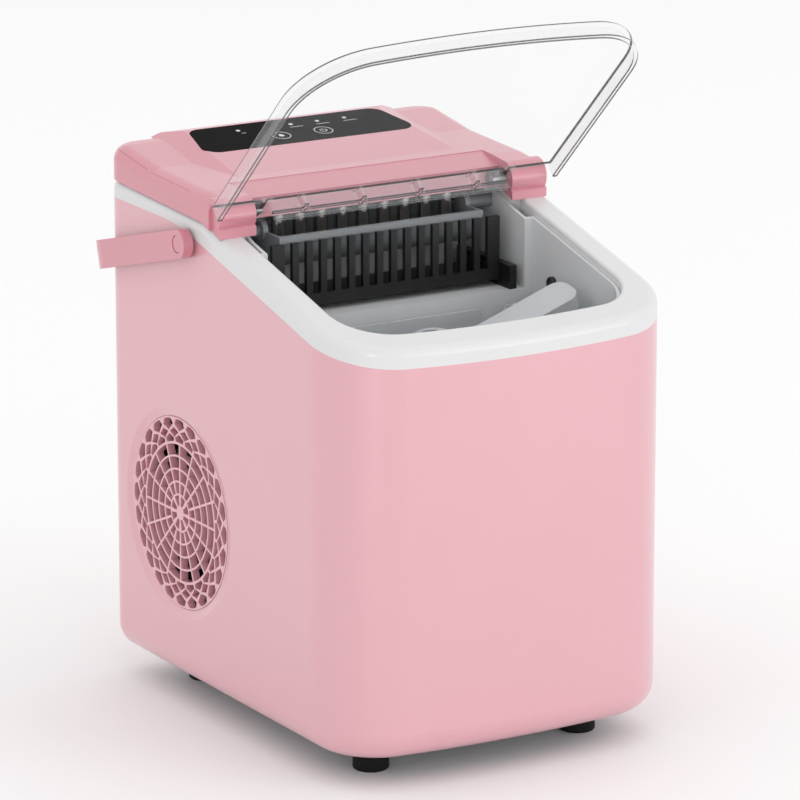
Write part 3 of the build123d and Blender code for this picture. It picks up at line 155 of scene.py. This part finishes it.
@dataclass(frozen=True)
class Finish:
    """An opaque or clear solid finish with colour drift, gloss drift and relief.

    The colour drifts between two close tones on a soft noise, the roughness
    swings on a finer one, and a third gives the bump.
    """

    name: str
    tone: str
    drift_tone: str
    roughness: float
    swing: float = 0.04
    metallic: float = 0.0
    ior: float = 1.5
    coat: float = 0.0
    coat_roughness: float = 0.12
    coat_ior: float = 1.5
    specular: float = 0.5
    transmission: float = 0.0
    alpha: float = 1.0
    subsurface: float = 0.0
    drift_mm: float = 45.0
    grain_mm: float = 1.2
    relief_mm: float = 0.01
    relief: Relief = Relief.MOULDED
    bump_strength: float = 0.6
    subsurface_mm: float = 3.0

    def material(self) -> bpy.types.Material:
        """Returns the finish's material, made once."""
        if self.name not in MADE:
            MADE[self.name] = self.build()
        return MADE[self.name]

    def build(self) -> bpy.types.Material:
        """Builds the node tree.

        Returns:
            A new material.
        """
        made = bpy.data.materials.new(self.name)
        made.use_nodes = True
        tree = made.node_tree
        shader = tree.nodes["Principled BSDF"]
        shader.inputs["Metallic"].default_value = self.metallic
        shader.inputs["IOR"].default_value = self.ior
        shader.inputs["Coat Weight"].default_value = self.coat
        shader.inputs["Coat Roughness"].default_value = self.coat_roughness
        shader.inputs["Coat IOR"].default_value = self.coat_ior
        shader.inputs["Specular IOR Level"].default_value = self.specular
        shader.inputs["Transmission Weight"].default_value = self.transmission
        shader.inputs["Alpha"].default_value = self.alpha
        shader.inputs["Subsurface Weight"].default_value = self.subsurface
        shader.inputs["Subsurface Scale"].default_value = self.subsurface_mm * MM
        place = add_node(tree, "ShaderNodeTexCoord")
        turned = add_node(tree, "ShaderNodeMapping", {"Scale": self.relief.value},
                          {"Vector": place.outputs["Object"]})
        drift = add_node(tree, "ShaderNodeTexNoise", {"Scale": 1 / (self.drift_mm * MM), "Detail": 2.0},
                         {"Vector": place.outputs["Object"]})
        tone = add_node(tree, "ShaderNodeMix", {"data_type": "RGBA", 6: linear(self.tone),
                                                7: linear(self.drift_tone)}, {0: drift.outputs["Fac"]})
        grain = add_node(tree, "ShaderNodeTexNoise", {"Scale": 1 / (self.grain_mm * MM), "Detail": 3.0},
                         {"Vector": turned.outputs["Vector"]})
        gloss = add_node(tree, "ShaderNodeMapRange",
                         {"To Min": max(self.roughness - self.swing, 0.0), "To Max": self.roughness + self.swing},
                         {"Value": grain.outputs["Fac"]})
        bump = add_node(tree, "ShaderNodeBump", {"Strength": self.bump_strength, "Distance": self.relief_mm * MM},
                        {"Height": grain.outputs["Fac"]})
        tree.links.new(tone.outputs[2], shader.inputs["Base Color"])
        tree.links.new(gloss.outputs["Result"], shader.inputs["Roughness"])
        tree.links.new(bump.outputs["Normal"], shader.inputs["Normal"])
        return made


@dataclass(frozen=True)
class ClearFinish(Finish):
    """A clear moulding, nearly invisible through its broad faces, with painted dark and bright reflection lines along
    its edges, in place of the light that the edges refract.
    """

    # Painted reflection lines: where each dark or bright band down the skirt starts, with its colour and its cover.
    painted_reflection_stops: tuple[tuple[float, str, float], ...] = (
        (0.0, "#303032", 0.8), (0.05, "#303032", 0.8), (0.08, "#E4E6E8", 0.08), (0.325, "#E4E6E8", 0.08),
        (0.34, "#2A2A2C", 0.85), (0.39, "#2A2A2C", 0.85), (0.42, "#D8DADC", 0.14), (0.89, "#D8DADC", 0.14),
        (0.92, "#1C1C1E", 0.92), (1.0, "#1C1C1E", 0.92))
    face_cover: float = 0.035
    face_normal: tuple[float, float, float] = (0.0, 0.0, 1.0)
    level_low: float = 0.0
    level_high: float = 1.0
    broad_from: float = 0.75
    broad_to: float = 0.97

    def build(self) -> bpy.types.Material:
        """Builds the opaque tree, then opens the broad faces and bands the edges.

        A face counts as broad where its normal lies along the plate's own normal. Down
        the skirt a painted reflection runs dark, bright and dark in colour and cover, in place of
        the light that the moulding's edges turn back, and the level is the position's dot product with that normal.

        Returns:
            A new material.
        """
        made = super().build()
        tree = made.node_tree
        shader = tree.nodes["Principled BSDF"]
        place = add_node(tree, "ShaderNodeTexCoord")
        along = add_node(tree, "ShaderNodeVectorMath", {"operation": "DOT_PRODUCT", 1: self.face_normal},
                         {0: place.outputs["Normal"]})
        size = add_node(tree, "ShaderNodeMath", {"operation": "ABSOLUTE"}, {0: along.outputs["Value"]})
        broad = add_node(tree, "ShaderNodeMapRange", {"From Min": self.broad_from, "From Max": self.broad_to},
                         {"Value": size.outputs["Value"]})
        depth = add_node(tree, "ShaderNodeVectorMath", {"operation": "DOT_PRODUCT", 1: self.face_normal},
                         {0: place.outputs["Object"]})
        level = add_node(tree, "ShaderNodeMapRange", {"From Min": self.level_low, "From Max": self.level_high},
                         {"Value": depth.outputs["Value"]})
        # Painted reflection: the ramp lays dark and bright bands down the skirt by position, standing in for edge
        # refraction.
        bands = add_node(tree, "ShaderNodeValToRGB", links={"Fac": level.outputs["Result"]})
        stops = bands.color_ramp.elements
        for index, (along_ramp, hex_code, cover_there) in enumerate(self.painted_reflection_stops):
            stop = stops[index] if index < 2 else stops.new(along_ramp)
            stop.position, stop.color = along_ramp, linear(hex_code, cover_there)
        tone = add_node(tree, "ShaderNodeMix", {"data_type": "RGBA", 7: linear(self.tone)},
                        {0: broad.outputs["Result"], 6: bands.outputs["Color"]})
        cover = add_node(tree, "ShaderNodeMix", {"data_type": "FLOAT", 3: self.face_cover},
                         {0: broad.outputs["Result"], 2: bands.outputs["Alpha"]})
        tree.links.new(tone.outputs[2], shader.inputs["Base Color"])
        tree.links.new(cover.outputs[0], shader.inputs["Alpha"])
        return made


# ABS moulded in a polished tool: even colour, soft gloss, very faint waviness.
PINK_CASING = Finish("ABS moulded pink", "#D9A0A9", "#D79CA6", 0.38, coat=1.0, coat_roughness=0.28,
                     coat_ior=1.8, relief_mm=0.004)
# The cover and handle come from another tool and batch, a touch deeper.
PINK_TOP = Finish("ABS moulded rose", "#CF8491", "#CC808D", 0.36, coat=0.8, coat_roughness=0.28,
                  coat_ior=1.6, relief_mm=0.004)
# White ABS with the same tool finish.
WHITE_RIM = Finish("ABS moulded white", "#D8D8D8", "#D5D5D6", 0.34, coat=0.3, relief_mm=0.004)
# Food-grade polypropylene: a waxy sheen with a little light inside it.
WHITE_LINER = Finish("Polypropylene moulded white", "#D9DADB", "#D2D4D6", 0.42, ior=1.49, subsurface=0.08)
# Frosted polypropylene: light passes, shapes behind it blur.
FROSTED = Finish("Polypropylene frosted", "#E9ECEE", "#E2E6E9", 0.45, ior=1.49, transmission=0.45,
                 relief_mm=0.01, grain_mm=0.8)
# Polycarbonate moulded in a mirror-finished tool.
# The lid at rest stands 44 degrees above level; its plate's normal leans back by as much.
LID_OPEN = math.radians(44.0)
LID_NORMAL = (0.0, math.sin(LID_OPEN), math.cos(LID_OPEN))
HINGE_Y = 16.5 * MM
HINGE_Z = 304.5 * MM
HINGE_LEVEL = HINGE_Y * LID_NORMAL[1] + HINGE_Z * LID_NORMAL[2]
RAIL_DROP = 15.5 * MM
LID_TOP = 0.7 * MM
# Its skirt carries painted dark and bright reflection lines, laid out along the lid's normal from the rail's foot up to
# the lid's top.
CLEAR = ClearFinish("Polycarbonate moulded clear", "#F2F4F5", "#EEF1F3", 0.05, swing=0.01, ior=1.585,
                    relief_mm=0.001, face_normal=LID_NORMAL, level_low=HINGE_LEVEL - RAIL_DROP,
                    level_high=HINGE_LEVEL + LID_TOP)
# Back-painted acrylic sheet: a deep, even black with a sharp reflection.
BLACK_PANEL = Finish("Acrylic sheet back-painted black", "#040404", "#060606", 0.1, swing=0.02, ior=1.05,
                     specular=0.5, relief_mm=0.0008, grain_mm=6.0)
# Nitrile rubber: matt, with a dusty bloom.
RUBBER = Finish("Nitrile rubber moulded black", "#0A0A0A", "#121111", 0.72, specular=0.25, grain_mm=0.7, relief_mm=0.03)
BLACK_ABS = Finish("ABS moulded black", "#101011", "#161617", 0.4, relief_mm=0.006)
GREY_ABS = Finish("ABS moulded grey", "#8C9093", "#858A8E", 0.42, relief_mm=0.006)
# Nickel plate over copper: bright and slightly warm.
NICKEL = Finish("Nickel plate on copper", "#C9C6C1", "#BFBCB6", 0.12, metallic=1.0, relief_mm=0.002)
COPPER = Finish("Copper tube drawn", "#C98A66", "#B5704E", 0.26, metallic=1.0, relief=Relief.BRUSHED)
BRASS = Finish("Brass turned", "#C9A765", "#B9965A", 0.28, metallic=1.0, relief=Relief.BRUSHED)
FIN_STOCK = Finish("Aluminium fin stock", "#C4C6C8", "#B4B7BA", 0.34, metallic=1.0, relief=Relief.BRUSHED)
ZINC = Finish("Steel zinc plated", "#B9BBBE", "#A9ACB0", 0.3, metallic=1.0, grain_mm=0.5)
GALVANISED = Finish("Steel sheet galvanised", "#9EA2A6", "#8C9195", 0.38, metallic=1.0, drift_mm=9.0)
ENAMEL = Finish("Steel stove enamelled black", "#0E0E0F", "#141415", 0.3, coat=0.4, grain_mm=2.5, relief_mm=0.03)
FOAM = Finish("Polyurethane foam cream", "#D8CFB4", "#C9BFA0", 0.85, grain_mm=1.6, relief_mm=0.25)
MASK = Finish("Solder mask green", "#1D5A34", "#184C2C", 0.35, grain_mm=0.9)
SILICONE = Finish("Silicone hose clear", "#DCE0E0", "#D2D8D8", 0.4, transmission=0.5, ior=1.41)
# Ink screen-printed on the back of the panel: flat and opaque.
INK = Finish("Screen ink white", "#D6D6D6", "#CFCFCF", 0.55, relief_mm=0.001)

SLOT_FINISHES: dict[str, Finish] = {
    "pink_casing": PINK_CASING, "pink_top": PINK_TOP, "pink_pivot": PINK_TOP, "white_rim": WHITE_RIM,
    "white_liner": WHITE_LINER, "foam": FOAM, "frosted_plastic": FROSTED, "black_glass": BLACK_PANEL,
    "clear_plastic": CLEAR, "black_rubber": RUBBER, "steel": ZINC, "galvanised": GALVANISED,
    "black_plastic": BLACK_ABS, "grey_plastic": GREY_ABS, "nickel": NICKEL, "fins": FIN_STOCK,
    "copper": COPPER, "valve_brass": BRASS, "black_enamel": ENAMEL, "motor_steel": ZINC,
    "silicone": SILICONE, "circuit_board": MASK, "smoked_plastic": BLACK_ABS,
}


class CarriedNodes:
    """Dresses the CAD nodes that stay as they are."""

    def dress(self) -> None:
        """Gives each CAD node the finish of its record slot."""
        for subpart in frame["record"]["subparts"]:
            node = frame["nodes"][subpart["node"]]
            finish = SLOT_FINISHES[subpart["material_slot"]]
            for index in range(max(len(node.material_slots), 1)):
                if node.material_slots:
                    node.material_slots[index].material = finish.material()
                else:
                    node.data.materials.append(finish.material())
            LOG.info("node %s: %s", subpart["node"], finish.name)


# ------------------------------------------------------------------ touch panel print
@dataclass
class PanelPrint:
    """White print and lamp lenses that lie on the sloping black panel."""

    tilt: float = math.radians(8.03)
    glass_t: float = 2.0 * MM
    lift: float = 0.02 * MM
    ink_t: float = 0.06 * MM
    button_x: tuple[float, float] = (-14.2 * MM, 14.2 * MM)
    button_v: float = -5.6 * MM
    button_r: float = 5.6 * MM
    lamp_x: tuple[float, ...] = (-35.0 * MM, 0.5 * MM, 18.5 * MM, 37.0 * MM)
    lamp_v: float = 9.8 * MM
    lamp_r: float = 1.35 * MM
    line: float = 0.55 * MM
    steps: int = 48

    def on_panel(self, u: np.ndarray, v: np.ndarray, w: np.ndarray) -> np.ndarray:
        """Places flat coordinates on the panel.

        Args:
            u: distance to the right of the panel's middle.
            v: distance uphill from the middle.
            w: height above the glass.

        Returns:
            Points in the row frame: the middle of the glass's top, plus u along X,
            v along the slope and w along the slope's normal.
        """
        low, high = (np.array(corner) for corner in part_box("touch_panel"))
        middle = (low + high) / 2
        up_slope = np.array([0.0, math.cos(self.tilt), math.sin(self.tilt)])
        normal = np.array([0.0, -math.sin(self.tilt), math.cos(self.tilt)])
        start = middle + normal * (self.glass_t / 2 + self.lift)
        return (start + np.multiply.outer(u, [1.0, 0.0, 0.0]) + np.multiply.outer(v, up_slope)
                + np.multiply.outer(w, normal))

    def band(self, centre: tuple[float, float], radius: float, start: float, end: float) -> tuple:
        """A flat printed arc.

        The arc's centre line is (cos a, sin a) times the radius for angle a from start
        to end, and its section is a rectangle one line wide and one ink layer high.

        Args:
            centre: the arc's centre on the panel.
            radius: radius of the centre line.
            start: first angle in radians.
            end: last angle in radians.

        Returns:
            Points and faces.
        """
        whole = abs(end - start) > 2 * math.pi - 1e-6
        angle = np.linspace(start, end, self.steps, endpoint=not whole)
        across = np.array([-0.5, -0.5, 0.5, 0.5]) * self.line
        height = np.array([0.0, 1.0, 1.0, 0.0]) * self.ink_t
        r = radius + across[None, :]
        u = centre[0] + r * np.cos(angle)[:, None]
        v = centre[1] + r * np.sin(angle)[:, None]
        w = np.broadcast_to(height[None, :], r.shape)
        points = self.on_panel(u, v, w).reshape(-1, 3)
        faces = closed_grid(len(angle), 4, whole, True).tolist()
        if not whole:
            last = (len(angle) - 1) * 4
            faces += [[3, 2, 1, 0], [last, last + 1, last + 2, last + 3]]
        return points, faces

    def blob(self, centre: tuple[float, float], radius: np.ndarray, height: float) -> tuple:
        """A low solid of any outline, domed on top.

        Its outline is radius(a) round the centre, and on rings at share s of the
        radius the height is the full height times the root of (1 - s squared) plus a rim.

        Args:
            centre: the blob's centre on the panel.
            radius: outline radius at evenly spaced angles.
            height: height at the middle.

        Returns:
            Points and faces.
        """
        count = len(radius)
        angle = np.linspace(0, 2 * math.pi, count, endpoint=False)
        share = np.array([1.0, 1.0, 0.8, 0.5, 0.2])
        rise = np.array([0.0, 0.35, 0.68, 0.9, 1.0]) * height
        u = centre[0] + share[:, None] * radius[None, :] * np.cos(angle)[None, :]
        v = centre[1] + share[:, None] * radius[None, :] * np.sin(angle)[None, :]
        w = np.broadcast_to(rise[:, None], u.shape)
        points = self.on_panel(u, v, w).reshape(-1, 3)
        faces = closed_grid(len(share), count, False, True)[:, ::-1].tolist()
        top = (len(share) - 1) * count
        faces += [list(range(top, top + count)), list(range(count - 1, -1, -1))]
        return points, faces

    def bar(self, centre: tuple[float, float], size: tuple[float, float]) -> tuple:
        """A flat printed bar: a superellipse of the given length and width.

        Args:
            centre: the bar's centre on the panel.
            size: length along u and width along v.

        Returns:
            Points and faces.
        """
        angle = np.linspace(0, 2 * math.pi, 32, endpoint=False)
        power = 0.3
        x = np.sign(np.cos(angle)) * np.abs(np.cos(angle)) ** power * size[0] / 2
        y = np.sign(np.sin(angle)) * np.abs(np.sin(angle)) ** power * size[1] / 2
        w = np.array([0.0, 1.0]) * self.ink_t
        u = np.broadcast_to(centre[0] + x, (2, 32))
        v = np.broadcast_to(centre[1] + y, (2, 32))
        points = self.on_panel(u, v, np.broadcast_to(w[:, None], (2, 32))).reshape(-1, 3)
        faces = closed_grid(2, 32, False, True)[:, ::-1].tolist()
        faces += [list(range(32, 64)), list(range(31, -1, -1))]
        return points, faces

    def build(self) -> None:
        """Makes the button rings, their signs, the lamps and the marks beside them."""
        full = 2 * math.pi
        for side, x in zip(("left", "right"), self.button_x):
            self.print_piece(f"button_ring_{side}", self.band((x, self.button_v), self.button_r, 0, full))
        x = self.button_x[1]
        gap = math.radians(38)
        self.print_piece("power_arc", self.band((x, self.button_v), 2.1 * MM, math.pi / 2 + gap,
                                                math.pi / 2 - gap + full))
        self.print_piece("power_bar", self.bar((x, self.button_v + 1.5 * MM), (0.5 * MM, 2.4 * MM)))
        angle = np.linspace(0, full, 40, endpoint=False)
        drop = 1.7 * MM * (1 + 0.45 * np.maximum(np.sin(angle), 0) ** 6)
        self.print_piece("drop_sign", self.blob((self.button_x[0], self.button_v - 0.2 * MM), drop, self.ink_t))
        for index, x in enumerate(self.lamp_x):
            lens = self.blob((x, self.lamp_v), np.full(28, self.lamp_r), 0.35 * MM)
            self.print_piece(f"lamp_lens_{index + 1}", lens)
            mark_v = self.lamp_v - 4.6 * MM
            length = 3.0 * MM if index == 0 else 9.0 * MM
            self.print_piece(f"lamp_mark_{index + 1}", self.bar((x + 1.5 * MM, mark_v), (length, 0.5 * MM)))

    def print_piece(self, name: str, shape: tuple) -> None:
        """Makes one printed piece on the casing."""
        make_piece(name, shape[0], shape[1], INK, "casing", smooth=False)


# ------------------------------------------------------------------ studio
@dataclass(frozen=True)
class SoftBox:
    """A rectangular soft box: its place and size in metres and its power in watts."""

    name: str
    place: tuple[float, float, float]
    size: tuple[float, float]
    power: float


SOFT_BOXES = (
    SoftBox("key_front_right", (1.6, -2.4, 1.9), (1.4, 1.4), 4.0),
    SoftBox("low_front", (1.3, -2.25, 0.38), (1.2, 0.72), 7.0),
    SoftBox("strip_left", (-1.42, -2.18, 0.38), (0.3, 0.72), 5.0),
    SoftBox("top", (0.3, 0.2, 2.6), (1.6, 1.6), 3.0),
)


@dataclass
class Studio:
    """Pale floor, soft light and the camera."""

    target: tuple[float, float, float] = (8.5 * MM, 5.0 * MM, 182.9 * MM)
    azimuth: float = -30.52
    elevation: float = 15.12
    distance: float = 3.336
    lens: float = 257.85
    floor_size: float = 60.0

    def build(self) -> None:
        """Makes the floor, the sky, the lamps and the camera."""
        self.floor()
        self.sky()
        self.lamps()
        self.camera()
        bpy.context.scene.view_settings.view_transform = "Standard"

    def floor(self) -> None:
        """A plain white floor, a hair under the feet."""
        half = self.floor_size / 2
        points = np.array([[-half, -half, 0], [half, -half, 0], [half, half, 0], [-half, half, 0]], float)
        mesh = bpy.data.meshes.new("studio_floor")
        mesh.from_pydata(points.tolist(), [], [[0, 1, 2, 3]])
        plane = bpy.data.objects.new("studio_floor", mesh)
        bpy.context.scene.collection.objects.link(plane)
        paper = Finish("Paper sweep white", "#F7F7F7", "#F6F6F6", 0.9, swing=0.02, drift_mm=900.0, grain_mm=4.0,
                       relief_mm=0.002)
        plane.data.materials.append(paper.material())

    def sky(self) -> None:
        """Even white surroundings."""
        world = bpy.data.worlds.new("white_tent")
        world.use_nodes = True
        backdrop = world.node_tree.nodes["Background"]
        backdrop.inputs["Color"].default_value = (1.0, 1.0, 1.0, 1.0)
        backdrop.inputs["Strength"].default_value = 1.0
        bpy.context.scene.world = world

    def lamp(self, box: SoftBox) -> None:
        """One rectangular soft box aimed at the middle of the object.

        Args:
            box: the lamp's place, size and power.
        """
        data = bpy.data.lights.new(box.name, "AREA")
        data.shape = "RECTANGLE"
        data.size, data.size_y = box.size
        data.energy = box.power
        lamp = bpy.data.objects.new(box.name, data)
        bpy.context.scene.collection.objects.link(lamp)
        lamp.location = box.place
        aim = np.array(self.target) - np.array(box.place)
        flat = math.hypot(aim[0], aim[1])
        lamp.rotation_euler = (math.atan2(flat, -aim[2]), 0.0, math.atan2(aim[1], aim[0]) - math.pi / 2)

    def lamps(self) -> None:
        """Key light from the front right, low soft boxes that the front mirrors, a top light."""
        for box in SOFT_BOXES:
            self.lamp(box)

    def camera(self) -> None:
        """A long lens at the object's front left, a little above it."""
        data = bpy.data.cameras.new("studio_camera")
        data.lens = self.lens
        data.sensor_width = 36.0
        data.clip_end = 100.0
        camera = bpy.data.objects.new("studio_camera", data)
        bpy.context.scene.collection.objects.link(camera)
        turn, lift = math.radians(self.azimuth), math.radians(self.elevation)
        away = np.array([math.sin(turn) * math.cos(lift), -math.cos(turn) * math.cos(lift), math.sin(lift)])
        camera.location = np.array(self.target) + away * self.distance
        camera.rotation_euler = (math.pi / 2 - lift, 0.0, turn)
        bpy.context.scene.camera = camera


def main() -> None:
    """Builds the looks in order."""
    logging.basicConfig(level=logging.INFO, format="%(name)s: %(message)s")
    Studio().build()
    CarriedNodes().dress()
    PanelPrint().build()


if __name__ == "__main__":
    main()
